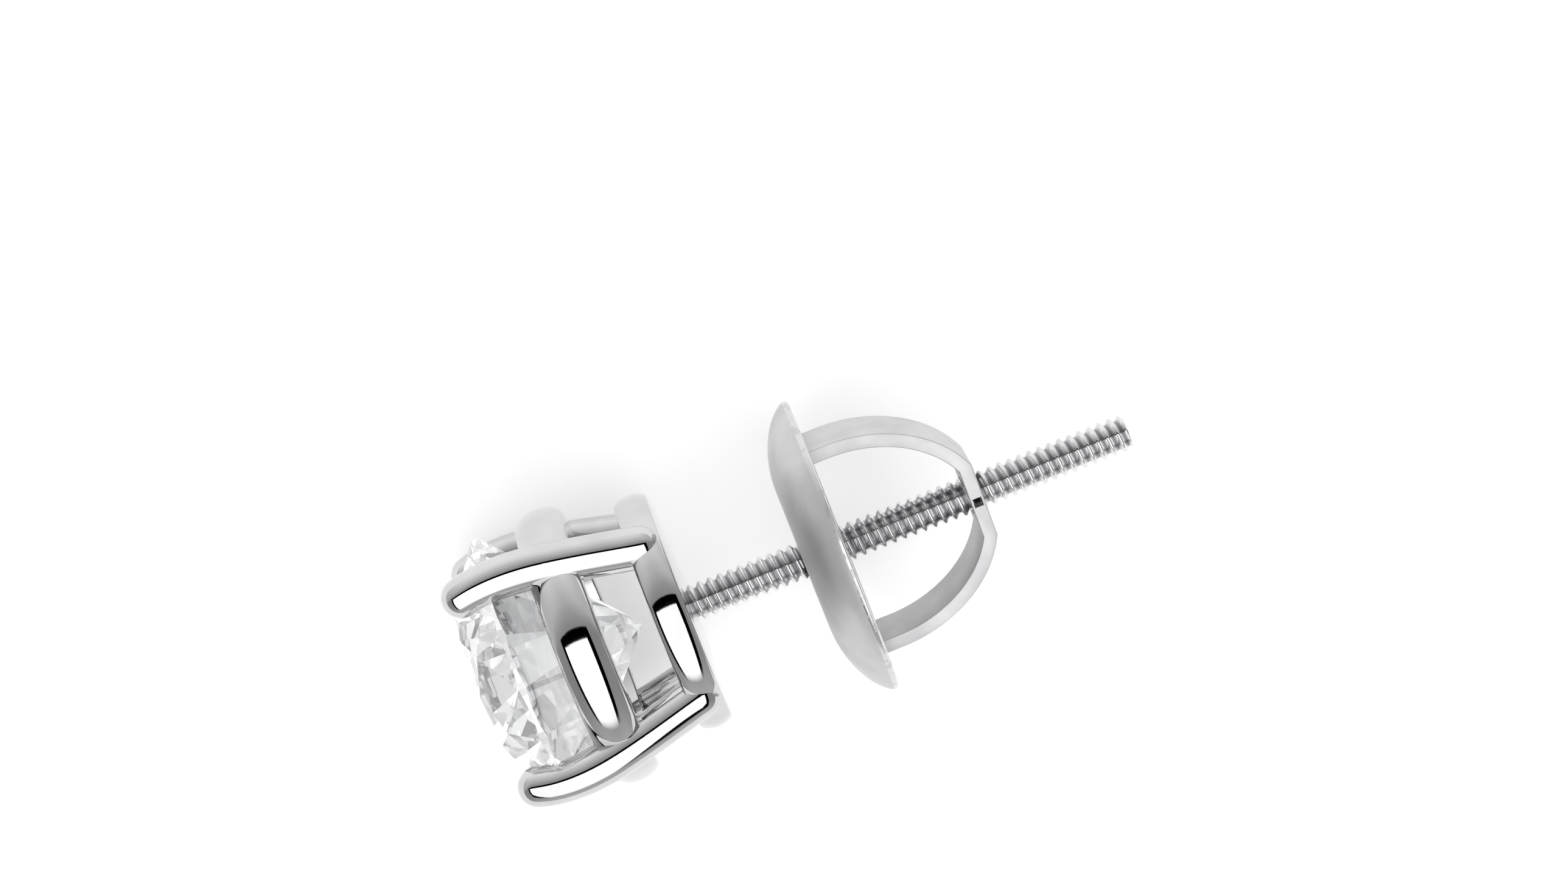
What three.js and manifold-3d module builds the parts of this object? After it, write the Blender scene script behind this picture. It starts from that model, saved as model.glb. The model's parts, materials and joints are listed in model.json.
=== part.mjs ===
// Stud earring: a round brilliant stone in a four-prong basket with a threaded post, and the
// screw back that runs on the post, lying on its side. Millimetres, +Z up, the post along +X.
import * as THREE from 'three';
import { mergeVertices } from 'three/addons/utils/BufferGeometryUtils.js';
import Module from 'manifold-3d';

const wasm = await Module();
wasm.setup();

// Every piece is drawn about the stud's own axis, Z: the head's back plane is z = 0, the stone
// looks down -Z and the post runs up +Z. The last lines lay the stud down, with local +X below.
const stoneSize = {
  radius: 3.25, // at the girdle, a one-carat round
  girdle: 0.19, // girdle thickness at the tips of the main facets
  back: -3.98, // z of the girdle's back edge
  table: 0.565, // table width over stone width
  star: 0.5, // star facets reach this share of the way from table to girdle
  lowerHalf: 0.78, // lower halves reach this share of the way from girdle to culet
  crownAngle: 35,
  pavilionAngle: 40.75,
  culet: 0.03 // depth cut off the point
};
const mainFacets = 8;

const prongWire = 0.5; // wire radius
const tipRadius = 0.47;
const prongs = 4;
const seatGap = 0.03; // between the stone and the metal
// The middle of a prong's wire, from its foot to the bead over the girdle
const prongRoute = [
  { r: 2.6, z: 0.3 },
  { r: 2.67, z: -0.3 },
  { r: 2.8, z: -1 },
  { r: 3.1, z: -2 },
  { r: 3.36, z: -3 },
  { r: 3.47, z: -3.9 },
  { r: 3.29, z: -4.66 }
];

const rail = { inner: 2.45, edge: 3.16, crest: 3.4, front: -3.12, back: -1.98 };
const base = { inner: 2.3, edge: 2.78, crest: 2.9, front: -0.8, plate: 0.45 };
const foot = { inner: 2.72, outer: 3.25, round: 0.42 }; // the prongs' feet turn in at the base

const thread = { crest: 0.45, root: 0.325, pitch: 0.25, sides: 12 };
const postEnd = 10.95;

// The dish's two faces from the flat middle to the rim, each a cubic curve's four points
const dishFace = [[1.7, 2.83], [2.7, 2.83], [3.5, 3.35], [3.62, 3.8]];
const dishHollow = [[3.5, 3.86], [3.3, 3.52], [2.55, 3.13], [1.6, 3.13]];
const bore = 0.5; // radius of the plain bore that clears the thread

const arch = {
  width: 1.5,
  thickness: 0.33,
  shoulder: 4.25, // z where the legs start to close in
  half: 2.66, // outer half height at the shoulder
  apex: 7.25, // z of the arch's outer face on the axis
  flat: 0.92, // half length of the flat at the apex
  foot: 3.15, // z where the legs end, inside the dish's wall
  turn: 13.3, // degrees that the arch is turned from the head's flat sides
  peep: 0.22 // width of the small square hole into the bore
};

const latheSides = 36;
const curveSteps = 6; // even, so that a bowed profile has a point on its crest
const radians = THREE.MathUtils.degToRad;

// three.js geometry to a closed solid: shared vertices merged, collapsed triangles dropped
function solidFrom(geometry) {
  const bare = new THREE.BufferGeometry();
  bare.setAttribute('position', geometry.getAttribute('position'));
  if (geometry.index) bare.setIndex(geometry.index);
  const merged = mergeVertices(bare, 1e-5);
  const corners = merged.index.array;
  const kept = [];
  for (let i = 0; i < corners.length; i += 3) {
    const [a, b, c] = corners.slice(i, i + 3);
    if (a !== b && b !== c && c !== a) kept.push(a, b, c);
  }
  const vertProperties = new Float32Array(merged.getAttribute('position').array);
  return new wasm.Manifold(new wasm.Mesh({ numProp: 3, vertProperties, triVerts: new Uint32Array(kept) }));
}

function geometryFrom(solid) {
  const { vertProperties, triVerts } = solid.getMesh();
  const geometry = new THREE.BufferGeometry();
  geometry.setAttribute('position', new THREE.BufferAttribute(vertProperties, 3));
  geometry.setIndex(new THREE.BufferAttribute(triVerts, 1));
  return geometry;
}

// A profile of [radius, z] points turned about Z, with a flat of the polygon facing +X
function turned(profile) {
  const points = profile.map(([r, z]) => new THREE.Vector2(r, z));
  return solidFrom(new THREE.LatheGeometry(points, latheSides, Math.PI / latheSides).rotateX(Math.PI / 2));
}

// [radius, z] points that bow out from edge to crest and back
function bowed(edge, crest, from, to) {
  return Array.from({ length: curveSteps + 1 }, (_, i) => {
    const t = i / curveSteps;
    return [edge + (crest - edge) * Math.sin(Math.PI * t), THREE.MathUtils.lerp(from, to, t)];
  });
}

function cubic(controls) {
  const [a, b, c, d] = controls.map(([r, z]) => new THREE.Vector2(r, z));
  return new THREE.CubicBezierCurve(a, b, c, d).getPoints(curveSteps).map((p) => [p.x, p.y]);
}

function at(radius, azimuth, z) {
  return new THREE.Vector3(radius * Math.cos(azimuth), radius * Math.sin(azimuth), z);
}

// The round brilliant: a disc trimmed by its table, 32 crown and 24 pavilion facets.
// A grown stone, its facets moved out by the gap, cuts the seats in the prongs.
function roundBrilliant(gap) {
  const { radius, girdle, back, table, star, lowerHalf, culet } = stoneSize;
  const crownSlope = Math.tan(radians(stoneSize.crownAngle));
  const pavilionSlope = Math.tan(radians(stoneSize.pavilionAngle));
  const step = Math.PI / mainFacets;
  const front = back - girdle;
  const middle = new THREE.Vector3(0, 0, (front + back) / 2);
  const tableRadius = table * radius;
  const starRadius = THREE.MathUtils.lerp(tableRadius * Math.cos(step), radius, star);
  const halfRadius = radius * (1 - lowerHalf);
  const crownHeight = (radius - tableRadius) * crownSlope;
  const pavilionDepth = radius * pavilionSlope;

  const frontEdge = (azimuth) => at(radius, azimuth, front);
  const backEdge = (azimuth) => at(radius, azimuth, back);
  const tableCorner = (azimuth) => at(tableRadius, azimuth, front - crownHeight);
  const starZ = front - (radius - starRadius * Math.cos(step)) * crownSlope;
  const halfZ = back + (radius - halfRadius * Math.cos(step)) * pavilionSlope;
  const starTip = (azimuth) => at(starRadius, azimuth, starZ);
  const halfTip = (azimuth) => at(halfRadius, azimuth, halfZ);

  const depth = crownHeight + girdle + pavilionDepth;
  const blank = new THREE.CylinderGeometry(radius + gap, radius + gap, depth + 2 * gap, 64);
  blank.rotateX(Math.PI / 2).translate(0, 0, front - crownHeight + depth / 2);
  let stone = solidFrom(blank).trimByPlane([0, 0, -1], culet - gap - back - pavilionDepth);

  const facet = (a, b, c) => {
    const plane = new THREE.Plane().setFromCoplanarPoints(a, b, c);
    if (plane.distanceToPoint(middle) < 0) plane.negate();
    stone = stone.trimByPlane(plane.normal.toArray(), -plane.constant - gap);
  };
  for (let k = 0; k < mainFacets; k++) {
    const main = 2 * step * k;
    const between = main + step;
    const next = main + 2 * step;
    facet(frontEdge(main), starTip(main - step), starTip(between));
    facet(tableCorner(main), tableCorner(next), starTip(between));
    facet(backEdge(main), halfTip(main - step), halfTip(between));
    for (const side of [main, next]) {
      facet(frontEdge(side), frontEdge(between), starTip(between));
      facet(backEdge(side), backEdge(between), halfTip(between));
    }
  }
  return stone;
}

// A round wire swept along the prong's route, with a bead at its tip
function prong(azimuth) {
  const route = new THREE.CatmullRomCurve3(prongRoute.map(({ r, z }) => new THREE.Vector3(r, 0, z)));
  const section = new THREE.Shape().absarc(0, 0, prongWire, 0, 2 * Math.PI);
  const wire = new THREE.ExtrudeGeometry(section, { extrudePath: route, steps: 12, curveSegments: 7 });
  const tip = prongRoute.at(-1);
  const bead = new THREE.SphereGeometry(tipRadius, 14, 8).translate(tip.r, 0, tip.z);
  return solidFrom(wire.rotateZ(azimuth)).add(solidFrom(bead.rotateZ(azimuth)));
}

function galleryRail() {
  const outside = bowed(rail.edge, rail.crest, rail.front, rail.back);
  return turned([...outside, [rail.inner, rail.back], [rail.inner, rail.front], outside[0]]);
}

function basePlate() {
  const outside = bowed(base.edge, base.crest, base.front, 0);
  const inside = [[0, -base.plate], [base.inner, -base.plate], [base.inner, base.front]];
  return turned([...inside, ...outside, [0, 0]]);
}

// What the prongs' feet are rounded to: everything in front of a corner of radius foot.round
function footEnvelope() {
  const corner = Array.from({ length: curveSteps + 1 }, (_, i) => {
    const t = (Math.PI / 2) * (i / curveSteps);
    return [foot.inner + foot.round * Math.sin(t), foot.round * (Math.cos(t) - 1)];
  });
  const front = stoneSize.back - 2;
  const wide = 2 * foot.outer;
  return turned([[0, front], [wide, front], [wide, -foot.round], ...corner.reverse(), [0, 0]]);
}

// Rings of crest and root every half pitch, sheared into a right-hand helix. Rows that would
// pass an end are held at it, at the radius that the helix has there.
function threadedPost(from, to) {
  const half = thread.pitch / 2;
  const rows = Math.ceil((to - from) / half) + 3;
  const profile = Array.from({ length: rows + 2 }, (_, row) => new THREE.Vector2(1, row));
  const rod = new THREE.LatheGeometry(profile, thread.sides);
  const position = rod.getAttribute('position');
  for (let i = 0; i < position.count; i++) {
    const row = i % profile.length;
    const turn = Math.floor(i / profile.length) / thread.sides;
    const helix = from + thread.pitch * turn;
    const z = THREE.MathUtils.clamp(helix + (row - 3) * half, from, to);
    const phase = THREE.MathUtils.euclideanModulo((z - helix) / half, 2);
    const cap = row === 0 || row === profile.length - 1;
    const radius = cap ? 0 : THREE.MathUtils.lerp(thread.crest, thread.root, Math.abs(phase - 1));
    const point = at(radius, 2 * Math.PI * turn, z);
    position.setXYZ(i, point.x, point.y, point.z);
  }
  return solidFrom(rod);
}

// Prongs, rail, base and post are soldered into one piece, with seats cut for the stone
function setting() {
  let basket = galleryRail().add(basePlate());
  for (let k = 0; k < prongs; k++) {
    basket = basket.add(prong((2 * Math.PI * (k + 0.5)) / prongs));
  }
  basket = basket.intersect(footEnvelope()).subtract(roundBrilliant(seatGap));
  return basket.add(threadedPost(-base.plate / 2, postEnd));
}

function rod(radius, from, to) {
  const cylinder = new THREE.CylinderGeometry(radius, radius, to - from, 24);
  return solidFrom(cylinder.rotateX(Math.PI / 2).translate(0, 0, (from + to) / 2));
}

// One face of the arch, inset from its outer one: a leg, a quarter ellipse and half of the flat
// at the apex, then the same on the other side
function archFace(inset) {
  const reach = arch.apex - arch.shoulder - inset;
  const half = arch.half - inset;
  const flat = arch.flat - inset / 3;
  const last = Math.acos(flat / half);
  const round = Array.from({ length: curveSteps + 1 }, (_, i) => {
    const t = last * (i / curveSteps);
    return new THREE.Vector2(arch.shoulder + reach * (Math.sin(t) / Math.sin(last)), half * Math.cos(t));
  });
  const side = [new THREE.Vector2(arch.foot, half), ...round];
  return [...side, ...side.map(({ x, y }) => new THREE.Vector2(x, -y)).reverse()];
}

// A flat strip bent to a D, drawn as its edge outline and given the strip's width
function archStrip() {
  const outer = archFace(0);
  const inner = archFace(arch.thickness);
  const shape = new THREE.Shape([...outer, ...inner.reverse()]);
  const strip = new THREE.ExtrudeGeometry(shape, { depth: arch.width, bevelEnabled: false });
  const along = new THREE.Vector3(0, 0, 1);
  const across = new THREE.Vector3(0, 1, 0);
  const through = new THREE.Vector3().crossVectors(along, across);
  strip.translate(0, 0, -arch.width / 2);
  strip.applyMatrix4(new THREE.Matrix4().makeBasis(along, across, through));
  return solidFrom(strip.rotateZ(radians(arch.turn)));
}

// The square hole through the apex's upper edge into the bore
function peepHole() {
  const hole = new THREE.BoxGeometry(arch.width, arch.peep, arch.peep);
  hole.translate(-arch.width / 2, 0, arch.apex - arch.thickness / 2);
  return solidFrom(hole.rotateZ(radians(arch.turn)));
}

// A dished disc with the arch soldered into its hollow, bored for the post
function screwBack() {
  const face = cubic(dishFace);
  const hollow = cubic(dishHollow);
  const dish = turned([[0, face[0][1]], ...face, ...hollow, [0, hollow.at(-1)[1]]]);
  return dish.add(archStrip()).subtract(rod(bore, 0, postEnd)).subtract(peepHole());
}

const whiteGold = { color: 0xdadbdd, metalness: 1 };
const finishes = {
  stone: new THREE.MeshStandardMaterial({ color: 0xf3f6fa, metalness: 0, roughness: 0.02 }),
  setting: new THREE.MeshStandardMaterial({ ...whiteGold, roughness: 0.1 }),
  screw_back: new THREE.MeshStandardMaterial({ ...whiteGold, roughness: 0.3 })
};
const solids = { stone: roundBrilliant(0), setting: setting(), screw_back: screwBack() };

const group = new THREE.Group();
for (const [name, solid] of Object.entries(solids)) {
  const piece = new THREE.Mesh(geometryFrom(solid), finishes[name]);
  piece.name = name;
  group.add(piece);
}

// Laid down, the stud rests on the gallery rail and the dish's rim, which lifts the post's end
const [rimRadius, rimZ] = dishFace.at(-1);
const railZ = (rail.front + rail.back) / 2;
const flatShare = Math.cos(Math.PI / latheSides);
const lift = Math.atan2((rimRadius - rail.crest) * flatShare, rimZ - railZ);
group.rotation.y = Math.PI / 2 - lift;
const box = new THREE.Box3().setFromObject(group, true);
const centre = box.getCenter(new THREE.Vector3());
group.position.set(-centre.x, -centre.y, -box.min.z);

export default group;
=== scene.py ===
import json
import math

import bmesh
import bpy
from mathutils import Matrix, Vector
from mathutils.geometry import interpolate_bezier


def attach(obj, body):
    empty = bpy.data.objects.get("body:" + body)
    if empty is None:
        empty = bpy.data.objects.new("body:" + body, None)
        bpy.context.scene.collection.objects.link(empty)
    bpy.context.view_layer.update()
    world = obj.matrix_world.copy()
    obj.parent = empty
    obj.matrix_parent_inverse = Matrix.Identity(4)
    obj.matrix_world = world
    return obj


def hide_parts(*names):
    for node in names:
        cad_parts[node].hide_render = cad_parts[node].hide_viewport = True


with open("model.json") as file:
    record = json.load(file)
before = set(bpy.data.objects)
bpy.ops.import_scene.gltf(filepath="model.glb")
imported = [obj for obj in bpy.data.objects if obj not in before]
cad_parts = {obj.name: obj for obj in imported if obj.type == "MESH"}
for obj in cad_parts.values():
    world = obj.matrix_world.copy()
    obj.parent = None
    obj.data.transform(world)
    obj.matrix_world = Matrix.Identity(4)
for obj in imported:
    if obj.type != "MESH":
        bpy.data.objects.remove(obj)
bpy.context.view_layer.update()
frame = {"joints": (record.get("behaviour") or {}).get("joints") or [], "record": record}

# Every piece is drawn in millimetres about the stud's own axis: the head's back plane is z = 0,
# the stone looks down -z, the post runs up +z, and +x ends up underneath.
alongPost = Vector(frame["joints"][0]["axis"]).normalized()
mounts = {mount["name"]: mount for mount in frame["record"]["mounts"]}
headBack = Vector(mounts["lobe_front_face"]["pos_m"])
headBack.y = 0
across = Vector((0, 1, 0))
studTurn = Matrix((across.cross(alongPost), across, alongPost)).transposed()
millimetre = 0.001
studPlace = Matrix.Translation(headBack) @ studTurn.to_4x4() @ Matrix.Scale(millimetre, 4)
finest = 1e-4  # points closer than this are one
fullTurn = 2 * math.pi


def allOf(bm):
    return bm.verts[:] + bm.edges[:] + bm.faces[:]


# Merges doubled points and turns every face outwards
def closeUp(bm):
    bmesh.ops.remove_doubles(bm, verts=bm.verts, dist=finest)
    bmesh.ops.dissolve_degenerate(bm, dist=finest, edges=bm.edges)
    bmesh.ops.recalc_face_normals(bm, faces=bm.faces)
    return bm


# An outline of (radius, z) points turned about the stud's axis
def lathe(outline, steps):
    bm = bmesh.new()
    points = [bm.verts.new((radius, 0, z)) for radius, z in outline]
    edges = [bm.edges.new(pair) for pair in zip(points, points[1:])]
    bmesh.ops.spin(bm, geom=points + edges, cent=(0, 0, 0), axis=(0, 0, 1),
                   angle=fullTurn, steps=steps, use_merge=True, use_duplicate=False)
    return closeUp(bm)


# Rounds every edge sharper than the angle
def softenEdges(bm, width, degrees=35):
    sharp = [e for e in bm.edges if e.is_manifold and e.calc_face_angle(0) > math.radians(degrees)]
    bmesh.ops.bevel(bm, geom=sharp, offset=width, offset_type="OFFSET", segments=3,
                    profile=0.5, affect="EDGES", clamp_overlap=True, material=-1)
    return bm


# Shades the faces smooth, with a crease where they meet at more than the angle
def markSharp(bm, degrees):
    for edge in bm.edges:
        edge.smooth = not edge.is_manifold or edge.calc_face_angle(0) < math.radians(degrees)
    for face in bm.faces:
        face.smooth = True


# Points of the cubic curve with these four (radius, z) controls
def curveThrough(points, steps):
    first, out, back, last = (Vector((radius, 0, z)) for radius, z in points)
    return [(p.x, p.z) for p in interpolate_bezier(first, out, back, last, steps)]


def toObject(bm, name):
    mesh = bpy.data.meshes.new(name)
    bm.to_mesh(mesh)
    bm.free()
    made = bpy.data.objects.new(name, mesh)
    bpy.context.scene.collection.objects.link(made)
    return made


# Joins or cuts closed meshes, and gives back the first with the others worked into it
def combine(bm, operation, *others):
    whole = toObject(bm, "whole")
    for other in others:
        tool = toObject(other, "tool")
        change = whole.modifiers.new("change", "BOOLEAN")
        change.operation = operation
        change.solver = "EXACT"
        change.object = tool
    bpy.context.view_layer.update()
    result = bmesh.new()
    result.from_object(whole, bpy.context.evaluated_depsgraph_get())
    tools = [m.object for m in whole.modifiers]
    for used in [whole, *tools]:
        mesh = used.data
        bpy.data.objects.remove(used)
        bpy.data.meshes.remove(mesh)
    return closeUp(result)


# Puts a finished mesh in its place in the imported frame, on its body
def finishPiece(bm, name, body, materials, node):
    bmesh.ops.transform(bm, matrix=studPlace, verts=bm.verts)
    piece = toObject(bm, name)
    for material in materials:
        piece.data.materials.append(material)
    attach(piece, body)
    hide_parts(node)
    print(name, len(piece.data.polygons), "faces")


# One socket of a shader, so that maths on it reads as Python
class Wire:
    def __init__(self, shader, socket):
        self.shader = shader
        self.socket = socket

    def maths(self, operation, *values):
        return self.shader.node("ShaderNodeMath", {"operation": operation}, dict(enumerate(values)))

    def __add__(self, other):
        return self.maths("ADD", self, other)

    def __sub__(self, other):
        return self.maths("SUBTRACT", self, other)

    def __rsub__(self, other):
        return self.maths("SUBTRACT", other, self)

    def __mul__(self, other):
        return self.maths("MULTIPLY", self, other)

    def __truediv__(self, other):
        return self.maths("DIVIDE", self, other)

    def __abs__(self):
        return self.maths("ABSOLUTE", self)

    def larger(self, other):
        return self.maths("MAXIMUM", self, other)

    __radd__ = __add__
    __rmul__ = __mul__


class Shader:
    def __init__(self, tree):
        self.tree = tree
        tree.nodes.clear()

    # Settings are set before the sockets, which take values or wires
    def node(self, kind, settings=None, sockets=None, output=0):
        made = self.tree.nodes.new(kind)
        for key, value in (settings or {}).items():
            setattr(made, key, value)
        for key, value in (sockets or {}).items():
            if isinstance(value, Wire):
                self.tree.links.new(value.socket, made.inputs[key])
            else:
                made.inputs[key].default_value = value
        if isinstance(output, tuple):
            return [Wire(self, made.outputs[name]) for name in output]
        return Wire(self, made.outputs[output]) if made.outputs else made

    def blend(self, factor, first, second):
        colours = {0: factor, 6: first, 7: second}
        return self.node("ShaderNodeMix", {"data_type": "RGBA"}, colours, 2)

    def between(self, value, low, high):
        limits = {"Value": value, "From Min": low, "From Max": high}
        return self.node("ShaderNodeMapRange", {"interpolation_type": "SMOOTHSTEP"}, limits)

    def vector(self, operation, first, second=None, output="Vector"):
        sockets = {0: first} if second is None else {0: first, 1: second}
        return self.node("ShaderNodeVectorMath", {"operation": operation}, sockets, output)

    def noise(self, place, scale, detail=3, roughness=0.5):
        sockets = {"Vector": place, "Scale": scale, "Detail": detail, "Roughness": roughness}
        return self.node("ShaderNodeTexNoise", {"noise_dimensions": "3D"}, sockets, "Fac")

    # Where a point is in the stud's own millimetres
    def studPoint(self):
        point = self.node("ShaderNodeTexCoord", output="Object")
        sockets = {"Vector": point, "Location": headBack, "Rotation": studTurn.to_euler(),
                   "Scale": (millimetre,) * 3}
        return self.node("ShaderNodeMapping", {"vector_type": "TEXTURE"}, sockets)

    def fromAxis(self, point):
        flat = self.vector("MULTIPLY", point, (1, 1, 0))
        return self.vector("LENGTH", flat, output="Value")

    def finish(self, surface):
        self.node("ShaderNodeOutputMaterial", sockets={"Surface": surface})


def newShader(name):
    material = bpy.data.materials.new(name)
    material.use_nodes = True
    return material, Shader(material.node_tree)


# tone and shade are the gold's colours in the clear and in its cloudy patches, and grain is how
# deep the fine marks go, in metres
polished = {
    "tone": (0.61, 0.61, 0.615, 1), "shade": (0.54, 0.54, 0.545, 1),
    "roughness": 0.045, "patches": 0.03, "grain": 1.2e-7, "grainScale": 24, "scratches": 0.02,
}
satin = {
    "tone": (0.63, 0.63, 0.635, 1), "shade": (0.55, 0.55, 0.56, 1),
    "roughness": 0.5, "patches": 0.16, "grain": 1.1e-6, "grainScale": 36, "scratches": 0.06,
}
threadLook = {
    "tone": (0.73, 0.73, 0.735, 1), "shade": (0.65, 0.65, 0.66, 1),
    "roughness": 0.07, "patches": 0.05, "grain": 6e-7, "grainScale": 18, "scratches": 0.06,
}
# Marks that all three finishes have; hairStretch draws the scratches out along the post
goldMarks = {
    "cloudScale": 0.9, "cloudEdge": (0.3, 0.75), "hairStretch": (9, 9, 0.7), "hairScale": 3.2,
    "hairEdge": (0.56, 0.74), "hairDepth": 0.4, "rubbing": 0.75,
    "darkening": (0.28, 0.28, 0.29, 1), "darkeningRoughness": 0.25,
}


# White gold: cloudy patches left by polishing, hair-fine scratches and a little grain.
# bright gives a wire that is 1 where the satin is rubbed bright, and dark one where the colour is made
# darker and the surface rougher.
def whiteGold(name, look, bright=None, dark=None):
    material, shader = newShader(name)
    point = shader.studPoint()
    clouds = shader.noise(point, goldMarks["cloudScale"])
    grain = shader.noise(point, look["grainScale"], detail=4, roughness=0.6)
    drawn = shader.vector("MULTIPLY", point, goldMarks["hairStretch"])
    lines = shader.noise(drawn, goldMarks["hairScale"], detail=2)
    hair = shader.between(lines, *goldMarks["hairEdge"])
    roughness = look["roughness"] + (clouds - 0.5) * look["patches"] + hair * look["scratches"]
    cloudy = shader.between(clouds, *goldMarks["cloudEdge"])
    colour = shader.blend(cloudy, look["tone"], look["shade"])
    if bright:
        rubbed = bright(shader, point)
        roughness = roughness * (1 - rubbed * goldMarks["rubbing"])
        colour = shader.blend(rubbed, colour, polished["tone"])
    if dark:
        # Darker colour and more roughness where dark is 1, down in the grooves
        darkening = dark(shader, point)
        roughness = roughness + darkening * goldMarks["darkeningRoughness"]
        colour = shader.blend(darkening, colour, goldMarks["darkening"])
    height = grain + hair * goldMarks["hairDepth"]
    bump = shader.node("ShaderNodeBump", {}, {"Distance": look["grain"], "Height": height}, "Normal")
    sockets = {"Base Color": colour, "Metallic": 1.0, "Roughness": roughness, "Normal": bump}
    shader.finish(shader.node("ShaderNodeBsdfPrincipled", {}, sockets))
    return material


# Noise on a facet's normal picks the facets that get a painted highlight (they glow) and those that
# get painted shade (a darker colour)
diamondLook = {
    "refraction": 2.417, "paintedHighlightScale": 6.5, "paintedHighlightEdge": (0.48, 0.56), "paintedShadeScale": 9.0,
    "paintedShadeEdge": (0.56, 0.62), "paintedShade": (0.55, 0.56, 0.57, 1), "glow": 0.24, "girdleRoughness": 0.18,
}
white, black = (1, 1, 1, 1), (0, 0, 0, 1)


# Clear diamond, or its frosted girdle. Each facet takes a painted highlight or painted shade by the
# way it faces.
def diamond(name, roughness):
    material, shader = newShader(name)
    look = diamondLook
    normal = shader.node("ShaderNodeNewGeometry", output="True Normal")
    # Painted highlight: the facets picked by this noise glow white, though the stone is no lamp
    paintedHighlight = shader.between(shader.noise(normal, look["paintedHighlightScale"], detail=0), *look["paintedHighlightEdge"])
    # Painted shade: the facets picked by this noise take a darker grey colour
    paintedShade = shader.between(shader.noise(normal, look["paintedShadeScale"], detail=0), *look["paintedShadeEdge"])
    sockets = {
        "Base Color": shader.blend(paintedShade, white, look["paintedShade"]), "Roughness": roughness,
        "IOR": look["refraction"], "Transmission Weight": 1.0,
        "Emission Color": shader.blend(paintedHighlight, black, white), "Emission Strength": look["glow"],
    }
    shader.finish(shader.node("ShaderNodeBsdfPrincipled", {}, sockets))
    return material


# table, star and lowerHalf are shares of the width, and girdleLean is how far the normal of a
# girdle face may lean along the axis
stoneSize = {
    "radius": 3.25, "girdle": 0.19, "back": -3.98, "table": 0.565, "star": 0.5, "lowerHalf": 0.78,
    "crownAngle": 35, "pavilionAngle": 40.75, "culet": 0.03, "mains": 8, "girdleSides": 128,
    "girdleLean": 0.02,
}


def at(radius, azimuth, z):
    return Vector((radius * math.cos(azimuth), radius * math.sin(azimuth), z))


# Cuts away what is outside the plane and closes the cut with one face
def grind(bm, place, normal):
    cut = bmesh.ops.bisect_plane(bm, geom=allOf(bm), dist=finest, plane_co=place,
                                 plane_no=normal, clear_outer=True)
    rim = [e for e in cut["geom_cut"] if isinstance(e, bmesh.types.BMEdge) and e.is_boundary]
    bmesh.ops.edgeloop_fill(bm, edges=rim)


# The round brilliant, its facets moved out by the gap when it cuts the prongs' seats
def roundBrilliant(gap=0.0):
    size = stoneSize
    radius, front, back = size["radius"], size["back"] - size["girdle"], size["back"]
    step = math.pi / size["mains"]
    crown = math.tan(math.radians(size["crownAngle"]))
    pavilion = math.tan(math.radians(size["pavilionAngle"]))
    tableRadius = size["table"] * radius
    starRadius = tableRadius * math.cos(step) * (1 - size["star"]) + radius * size["star"]
    halfRadius = radius * (1 - size["lowerHalf"])
    tableZ = front - (radius - tableRadius) * crown
    culetZ = back + radius * pavilion - size["culet"]
    middle = Vector((0, 0, (front + back) / 2))

    bm = bmesh.new()
    bmesh.ops.create_cone(bm, cap_ends=True, segments=size["girdleSides"], radius1=radius + gap,
                          radius2=radius + gap, depth=culetZ - tableZ + 2 * gap)
    bmesh.ops.translate(bm, verts=bm.verts, vec=(0, 0, (tableZ + culetZ) / 2))

    def facet(*corners):
        normal = (corners[1] - corners[0]).cross(corners[2] - corners[0]).normalized()
        if normal.dot(corners[0] - middle) < 0:
            normal.negate()
        grind(bm, corners[0] + normal * gap, normal)

    def starTip(azimuth):
        return at(starRadius, azimuth, front - (radius - starRadius * math.cos(step)) * crown)

    def halfTip(azimuth):
        return at(halfRadius, azimuth, back + (radius - halfRadius * math.cos(step)) * pavilion)

    for k in range(size["mains"]):
        main, between, after = 2 * step * k, 2 * step * k + step, 2 * step * (k + 1)
        facet(at(radius, main, front), starTip(main - step), starTip(between))
        facet(at(tableRadius, main, tableZ), at(tableRadius, after, tableZ), starTip(between))
        facet(at(radius, main, back), halfTip(main - step), halfTip(between))
        for side in (main, after):
            facet(at(radius, side, front), at(radius, between, front), starTip(between))
            facet(at(radius, side, back), at(radius, between, back), halfTip(between))
    return closeUp(bm)


def makeStone():
    bm = roundBrilliant()
    for face in bm.faces:
        face.smooth = False
        face.material_index = 1 if abs(face.normal.z) < stoneSize["girdleLean"] else 0
    finishes = [diamond("diamond", 0.0), diamond("frostedGirdle", diamondLook["girdleRoughness"])]
    finishPiece(bm, "roundBrilliant", "earring", finishes, "stone")


# wire and tip are radii, and endFlat is the part of a step left flat at the tip of the ball
prong = {
    "wire": 0.5, "tip": 0.47, "sides": 48, "steps": 16, "endSteps": 9, "endFlat": 0.4,
    "count": 4, "seatGap": 0.02, "crease": 32,
    "leg": [(2.62, -0.52), (2.8, -1.15), (3.16, -2.1), (3.36, -3.0)],
    "bend": [(3.36, -3.0), (3.48, -3.55), (3.5, -4.15), (3.29, -4.66)],
}
# crest is a ring's widest radius, and bulge the radius that its outside is bowed to
rail = {"crest": 3.4, "bulge": 0.8, "front": -3.12, "back": -1.98, "inner": 2.45}
base = {"crest": 2.9, "bulge": 0.73, "front": -0.8, "back": 0.0, "inner": 2.3, "plate": 0.45}
ringSteps, bowSteps = 144, 14
edgeRound = 0.05


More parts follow.
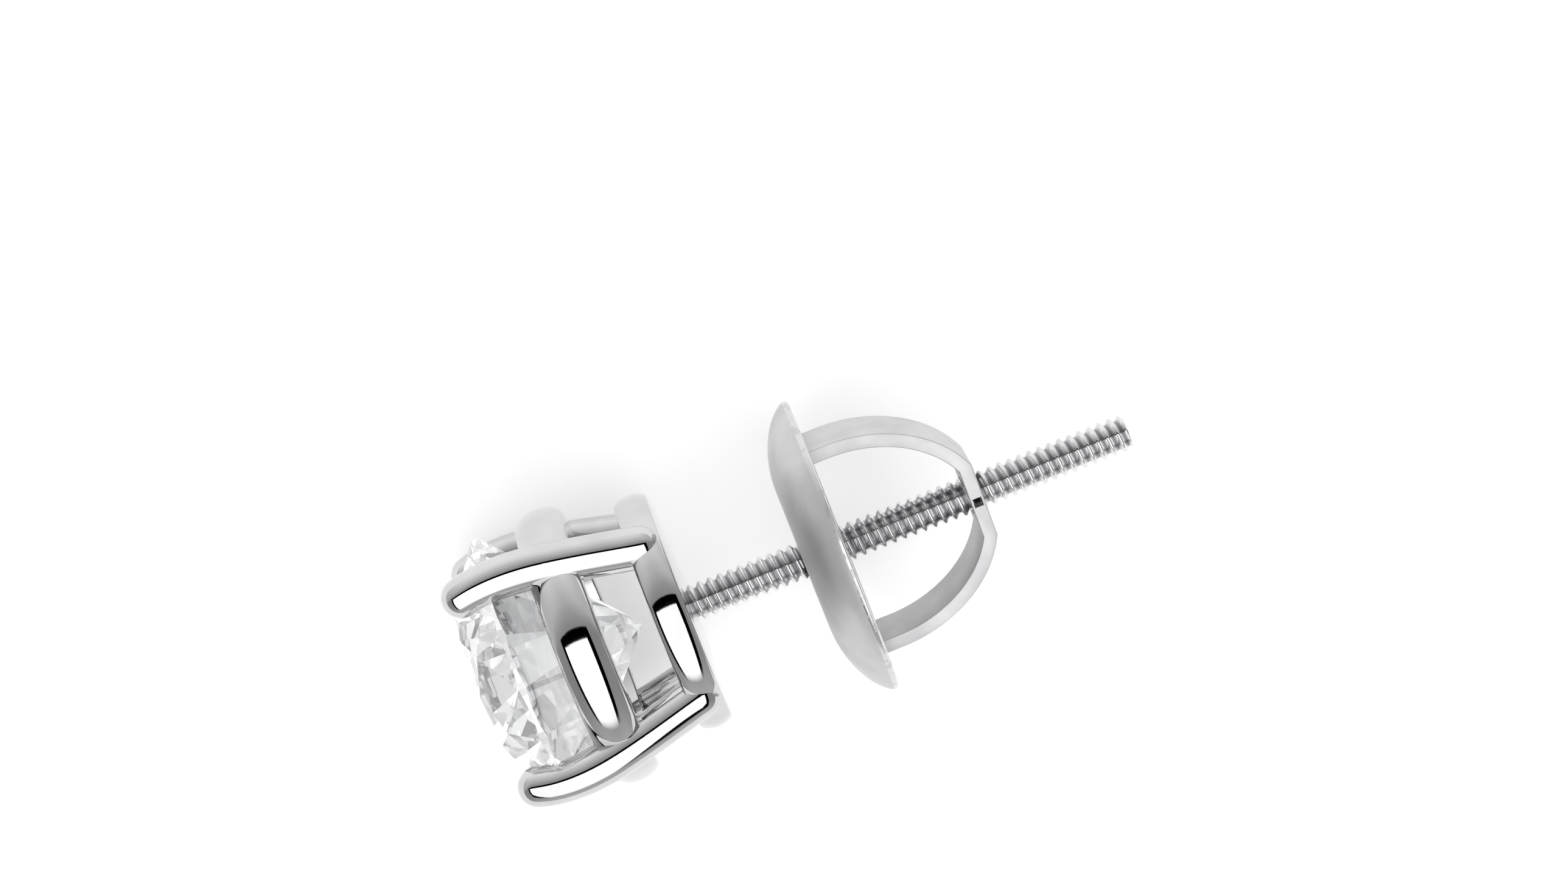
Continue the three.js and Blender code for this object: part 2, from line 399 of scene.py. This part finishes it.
# A wire carried from station to station, each a middle, a direction and a radius
def sweep(stations, sides):
    def placeOf(station):
        middle, way, radius = station
        side = across.cross(way)
        turn = Matrix((side, across, way)).transposed()
        return Matrix.Translation(middle) @ turn.to_4x4() @ Matrix.Scale(radius, 4)

    bm = bmesh.new()
    bmesh.ops.create_circle(bm, cap_ends=True, segments=sides, radius=1)
    place = placeOf(stations[0])
    bmesh.ops.transform(bm, matrix=place, verts=bm.verts)
    ring = bm.edges[:]
    for station in stations[1:]:
        grown = bmesh.ops.extrude_edge_only(bm, edges=ring)["geom"]
        corners = {v for v in grown if isinstance(v, bmesh.types.BMVert)}
        ring = [e for e in grown if isinstance(e, bmesh.types.BMEdge) and corners.issuperset(e.verts)]
        nextPlace = placeOf(station)
        bmesh.ops.transform(bm, matrix=nextPlace @ place.inverted(), verts=list(corners))
        place = nextPlace
    bmesh.ops.edgeloop_fill(bm, edges=ring)
    return closeUp(bm)


# The stations of a half ball that ends a wire, going out from its last ring
def ballEnd(station, direction, steps):
    middle, way, radius = station
    stations = []
    for i in range(1, steps + 1):
        turn = math.pi / 2 * i / (steps + prong["endFlat"])
        reach = way * direction * radius * math.sin(turn)
        stations.append((middle + reach, way, radius * math.cos(turn)))
    return stations


def prongWire(azimuth):
    leg = curveThrough(prong["leg"], prong["steps"])
    bend = curveThrough(prong["bend"], prong["steps"])
    route = [Vector((radius, 0, z)) for radius, z in leg + bend[1:]]
    ways = [(after - before).normalized() for before, after in zip(route, route[2:])]
    ways = [(route[1] - route[0]).normalized(), *ways, (route[-1] - route[-2]).normalized()]
    thinning = (prong["tip"] - prong["wire"]) / (len(bend) - 1)
    radii = [prong["wire"] + thinning * max(0, i - len(leg) + 1) for i in range(len(route))]
    stations = list(zip(route, ways, radii))
    foot = ballEnd(stations[0], -1, prong["endSteps"])
    bead = ballEnd(stations[-1], 1, prong["endSteps"])
    bm = sweep([*reversed(foot), *stations, *bead], prong["sides"])
    bmesh.ops.rotate(bm, verts=bm.verts, matrix=Matrix.Rotation(azimuth, 3, "Z"))
    return bm


# The bowed outside of a ring
def bowedOutside(ring):
    half = (ring["back"] - ring["front"]) / 2
    top = ring["front"] + half
    centre = ring["crest"] - ring["bulge"]
    offsets = [half * (2 * i / bowSteps - 1) for i in range(bowSteps + 1)]
    return [(centre + math.sqrt(ring["bulge"] ** 2 - offset ** 2), top + offset) for offset in offsets]


def galleryRail():
    outside = bowedOutside(rail)
    outline = [*outside, (rail["inner"], rail["back"]), (rail["inner"], rail["front"]), outside[0]]
    return softenEdges(lathe(outline, ringSteps), edgeRound)


def basePlate():
    plateFront = base["back"] - base["plate"]
    inside = [(0, plateFront), (base["inner"], plateFront), (base["inner"], base["front"])]
    outline = [*inside, *bowedOutside(base), (0, base["back"])]
    return softenEdges(lathe(outline, ringSteps), edgeRound)


def makeBasket():
    quarter = fullTurn / prong["count"]
    prongs = [prongWire(quarter * (k + 0.5)) for k in range(prong["count"])]
    bm = combine(basePlate(), "UNION", galleryRail(), *prongs)
    bm = combine(bm, "DIFFERENCE", roundBrilliant(prong["seatGap"]))
    markSharp(bm, prong["crease"])
    finish = whiteGold("polishedGold", polished)
    finishPiece(bm, "prongBasket", "earring", [finish], "setting")


thread = {
    "root": 0.325, "crest": 0.45, "pitch": 0.25, "stepsPerTurn": 40, "from": -0.3, "to": 10.95,
    "chamfer": 0.09, "tipRadius": 0.36, "flank": [(0.345, 0.05), (0.445, 0.07)], "flankSteps": 6,
    "crease": 48, "darkeningReach": (0.005, 0.06), "darkening": 0.75,
}


# 1 down in the thread's grooves, which are made darker and rougher
def grooves(shader, point):
    start, end = (thread["root"] + reach for reach in thread["darkeningReach"])
    return (1 - shader.between(shader.fromAxis(point), start, end)) * thread["darkening"]


# One pitch of the thread's outline, turned once as it climbs, and that turn repeated up the post
def threadedPost():
    half = thread["pitch"] / 2
    root, crest, start = thread["root"], thread["crest"], thread["from"] - thread["pitch"]
    rise = curveThrough([(root, 0), *thread["flank"], (crest, half)], thread["flankSteps"])
    outline = rise + [(radius, 2 * half - z) for radius, z in reversed(rise[:-1])]
    climb = (0, 0, thread["pitch"] / thread["stepsPerTurn"])

    bm = bmesh.new()
    points = [bm.verts.new((radius, 0, start + z)) for radius, z in outline]
    edges = [bm.edges.new(pair) for pair in zip(points, points[1:])]
    bmesh.ops.spin(bm, geom=points + edges, cent=(0, 0, 0), axis=(0, 0, 1), angle=fullTurn,
                   steps=thread["stepsPerTurn"], dvec=climb, use_duplicate=False)
    oneTurn = allOf(bm)
    for turn in range(1, math.ceil((thread["to"] - start) / thread["pitch"]) + 1):
        copied = bmesh.ops.duplicate(bm, geom=oneTurn)["geom"]
        corners = [v for v in copied if isinstance(v, bmesh.types.BMVert)]
        bmesh.ops.translate(bm, verts=corners, vec=(0, 0, turn * thread["pitch"]))
    bmesh.ops.remove_doubles(bm, verts=bm.verts, dist=finest)
    grind(bm, (0, 0, thread["from"]), (0, 0, -1))
    grind(bm, (0, 0, thread["to"]), (0, 0, 1))
    return closeUp(bm)


# The post's end is pressed in to a cone, so that the nut starts on it
def makePost():
    bm = threadedPost()
    edge = thread["to"] - thread["chamfer"]
    slope = (thread["crest"] - thread["tipRadius"]) / thread["chamfer"]
    for vert in bm.verts:
        reach = vert.co.xy.length
        limit = thread["crest"] - max(0, vert.co.z - edge) * slope
        if reach > limit:
            vert.co.xy *= limit / reach
    markSharp(bm, thread["crease"])
    finish = whiteGold("threadGold", threadLook, dark=grooves)
    finishPiece(bm, "threadedPost", "earring", [finish], "setting")


dish = {
    "face": [(1.7, 2.83), (2.7, 2.83), (3.5, 3.35), (3.62, 3.8)],
    "hollow": [(3.5, 3.86), (3.3, 3.52), (2.55, 3.13), (1.6, 3.13)],
    "bore": 0.48, "steps": 24, "rimRound": 0.03,
    "rimStart": (3.68, 3.74), "rimEnd": (3.88, 3.94), "rimReach": (3.3, 3.36),
    "markScale": 3.5, "markEdge": (0.55, 0.62), "markDepth": 0.9,
}
arch = {
    "width": 1.5, "thickness": 0.33, "foot": (2.66, 3.15), "apex": 7.25, "turn": 13.3, "peep": 0.22,
    "curve": [(2.66, 4.25), (2.66, 5.59), (1.966, 6.787), (0.92, 7.25)], "steps": 30,
    "edge": 0.035, "edgeAngle": 50, "crease": 20, "holeSides": 64, "holeDepth": 2,
}


# 1 on the disc's rim where the satin is turned bright, broken by small tool marks
def brightRim(shader, point):
    height = shader.node("ShaderNodeSeparateXYZ", {}, {0: point}, ("Z",))[0]
    rim = shader.between(height, *dish["rimStart"]) * (1 - shader.between(height, *dish["rimEnd"]))
    rim = rim * shader.between(shader.fromAxis(point), *dish["rimReach"])
    marks = shader.between(shader.noise(point, dish["markScale"], detail=2), *dish["markEdge"])
    return rim * (1 - marks * dish["markDepth"])


def dishedDisc():
    face = curveThrough(dish["face"], dish["steps"])
    hollow = curveThrough(dish["hollow"], dish["steps"])
    bore = dish["bore"]
    outline = [(bore, face[0][1]), *face, *hollow, (bore, hollow[-1][1]), (bore, face[0][1])]
    return softenEdges(lathe(outline, ringSteps), dish["rimRound"])


# Half of the strip's outer line, carried across its width, mirrored and given its thickness
def archStrip():
    line = [arch["foot"], *curveThrough(arch["curve"], arch["steps"]), (0, arch["apex"])]
    bm = bmesh.new()
    points = [bm.verts.new((-arch["width"] / 2, y, z)) for y, z in line]
    edges = [bm.edges.new(pair) for pair in zip(points, points[1:])]
    grown = bmesh.ops.extrude_edge_only(bm, edges=edges)["geom"]
    corners = [v for v in grown if isinstance(v, bmesh.types.BMVert)]
    bmesh.ops.translate(bm, verts=corners, vec=(arch["width"], 0, 0))
    bmesh.ops.mirror(bm, geom=allOf(bm), axis="Y", merge_dist=finest)
    closeUp(bm)
    if max(bm.faces, key=lambda face: face.calc_center_median().z).normal.z < 0:
        bmesh.ops.reverse_faces(bm, faces=bm.faces)
    bmesh.ops.solidify(bm, geom=bm.faces[:], thickness=arch["thickness"])
    return softenEdges(closeUp(bm), arch["edge"], arch["edgeAngle"])


def makeScrewBack():
    turn = Matrix.Rotation(math.radians(arch["turn"]), 3, "Z")
    strip = archStrip()
    bmesh.ops.rotate(strip, verts=strip.verts, matrix=turn)

    hole = bmesh.new()
    bmesh.ops.create_cone(hole, cap_ends=True, segments=arch["holeSides"], radius1=dish["bore"],
                          radius2=dish["bore"], depth=arch["holeDepth"])
    bmesh.ops.translate(hole, verts=hole.verts, vec=(0, 0, arch["apex"]))

    peep = bmesh.new()
    bmesh.ops.create_cube(peep, size=1)
    bmesh.ops.scale(peep, verts=peep.verts, vec=(arch["width"], arch["peep"], arch["peep"]))
    middle = (-arch["width"] / 2, 0, arch["apex"] - arch["thickness"] / 2)
    bmesh.ops.translate(peep, verts=peep.verts, vec=middle)
    bmesh.ops.rotate(peep, verts=peep.verts, matrix=turn)

    bm = combine(dishedDisc(), "UNION", strip)
    bm = combine(bm, "DIFFERENCE", hole, peep)
    markSharp(bm, arch["crease"])
    finish = whiteGold("satinGold", satin, brightRim)
    finishPiece(bm, "screwBack", "screw_back", [finish], "screw_back")


floorLook = {
    "size": 3.0, "squares": 4, "tone": (0.94, 0.94, 0.94, 1), "roughness": 0.9, "gloss": 0.1,
    "glow": 0.34,
}
# The panel's reach and softness, its flags' widths, and the glow of the walls round it
studio = {
    "along": (-1.15, 0.62), "across": (-1.9, 0.22), "panelGlow": 1.75, "soft": 0.012, "farSoft": 0.5,
    "flagAlong": 0.36, "flagAcross": 0.2, "flagFade": 0.9,
    "wallHigh": 0.62, "wallLow": 1.15, "sideLow": 0.69, "nearFlag": 0.55,
    "horizon": (0.02, 0.03), "sideStart": (0.3, 0.95), "wallRise": (0.05, 0.85),
}


def makeFloor():
    bm = bmesh.new()
    squares = floorLook["squares"]
    bmesh.ops.create_grid(bm, x_segments=squares, y_segments=squares, size=floorLook["size"] / 2)
    floor = toObject(bm, "floor")
    material, shader = newShader("paleFloor")
    sockets = {
        "Base Color": floorLook["tone"], "Roughness": floorLook["roughness"],
        "Specular IOR Level": floorLook["gloss"],
        "Emission Color": white, "Emission Strength": floorLook["glow"],
    }
    shader.finish(shader.node("ShaderNodeBsdfPrincipled", {}, sockets))
    floor.data.materials.append(material)


# A wide soft panel overhead, with black flags along three of its edges, in a pale room.
# Places on the panel are measured on a level one unit above the stud.
def makeStudio():
    world = bpy.data.worlds.new("studio")
    bpy.context.scene.world = world
    world.use_nodes = True
    shader = Shader(world.node_tree)
    way = shader.node("ShaderNodeTexCoord", output="Generated")
    x, y, z = shader.node("ShaderNodeSeparateXYZ", {}, {0: way}, ("X", "Y", "Z"))
    above = shader.between(z, *studio["horizon"])
    height = z.larger(studio["horizon"][0])
    along, over = x / height, y / height
    soft = studio["soft"]

    def past(value, edge, width=soft):
        return shader.between(value, edge - width, edge + width)

    def within(value, low, high, lowSoft=soft):
        return past(value, low, lowSoft) * (1 - past(value, high))

    (startX, endX), (startY, endY) = studio["along"], studio["across"]
    flag = studio["flagAlong"]
    panel = within(along, startX, endX) * within(over, startY, endY, studio["farSoft"]) * above
    framed = within(along, startX - flag, endX + flag) * above
    framed = framed * within(over, startY, endY + studio["flagAcross"], studio["farSoft"])
    aside = shader.between(abs(x), *studio["sideStart"])
    low = studio["wallLow"] + aside * (studio["sideLow"] - studio["wallLow"])
    wall = low + shader.between(z, *studio["wallRise"]) * (studio["wallHigh"] - low)
    fade = shader.between(over, endY, endY + studio["flagFade"])
    wall = wall * (studio["nearFlag"] + (1 - studio["nearFlag"]) * fade)
    light = wall * (1 - framed) + panel * studio["panelGlow"]
    background = shader.node("ShaderNodeBackground", {}, {"Color": light, "Strength": 1.0})
    shader.node("ShaderNodeOutputWorld", sockets={"Surface": background})


# Degrees and millimetres; aim is how far up the post the camera stands over
view = {
    "tilt": 6.5, "roll": 21.6, "distance": 87.0, "lens": 85.8, "aim": 2.9, "shift": (-0.0138, 0.0752),
}


def makeCamera():
    tilt, roll = math.radians(view["tilt"]), math.radians(view["roll"])
    towards = -studTurn.col[0] * math.cos(tilt) + across * math.sin(tilt)
    side = towards.cross(alongPost)
    right = alongPost * math.cos(roll) - side * math.sin(roll)
    up = towards.cross(right)
    data = bpy.data.cameras.new("camera")
    data.lens = view["lens"]
    data.shift_x, data.shift_y = view["shift"]
    data.clip_start = millimetre
    camera = bpy.data.objects.new("camera", data)
    bpy.context.scene.collection.objects.link(camera)
    target = studPlace @ Vector((0, 0, view["aim"]))
    turn = Matrix((right, up, towards)).transposed().to_4x4()
    camera.matrix_world = Matrix.Translation(target + towards * view["distance"] * millimetre) @ turn
    bpy.context.scene.camera = camera


makeStone()
makeBasket()
makePost()
makeScrewBack()
makeFloor()
makeStudio()
makeCamera()
bpy.context.scene.view_settings.view_transform = "Standard"
print("floor, studio and camera made")
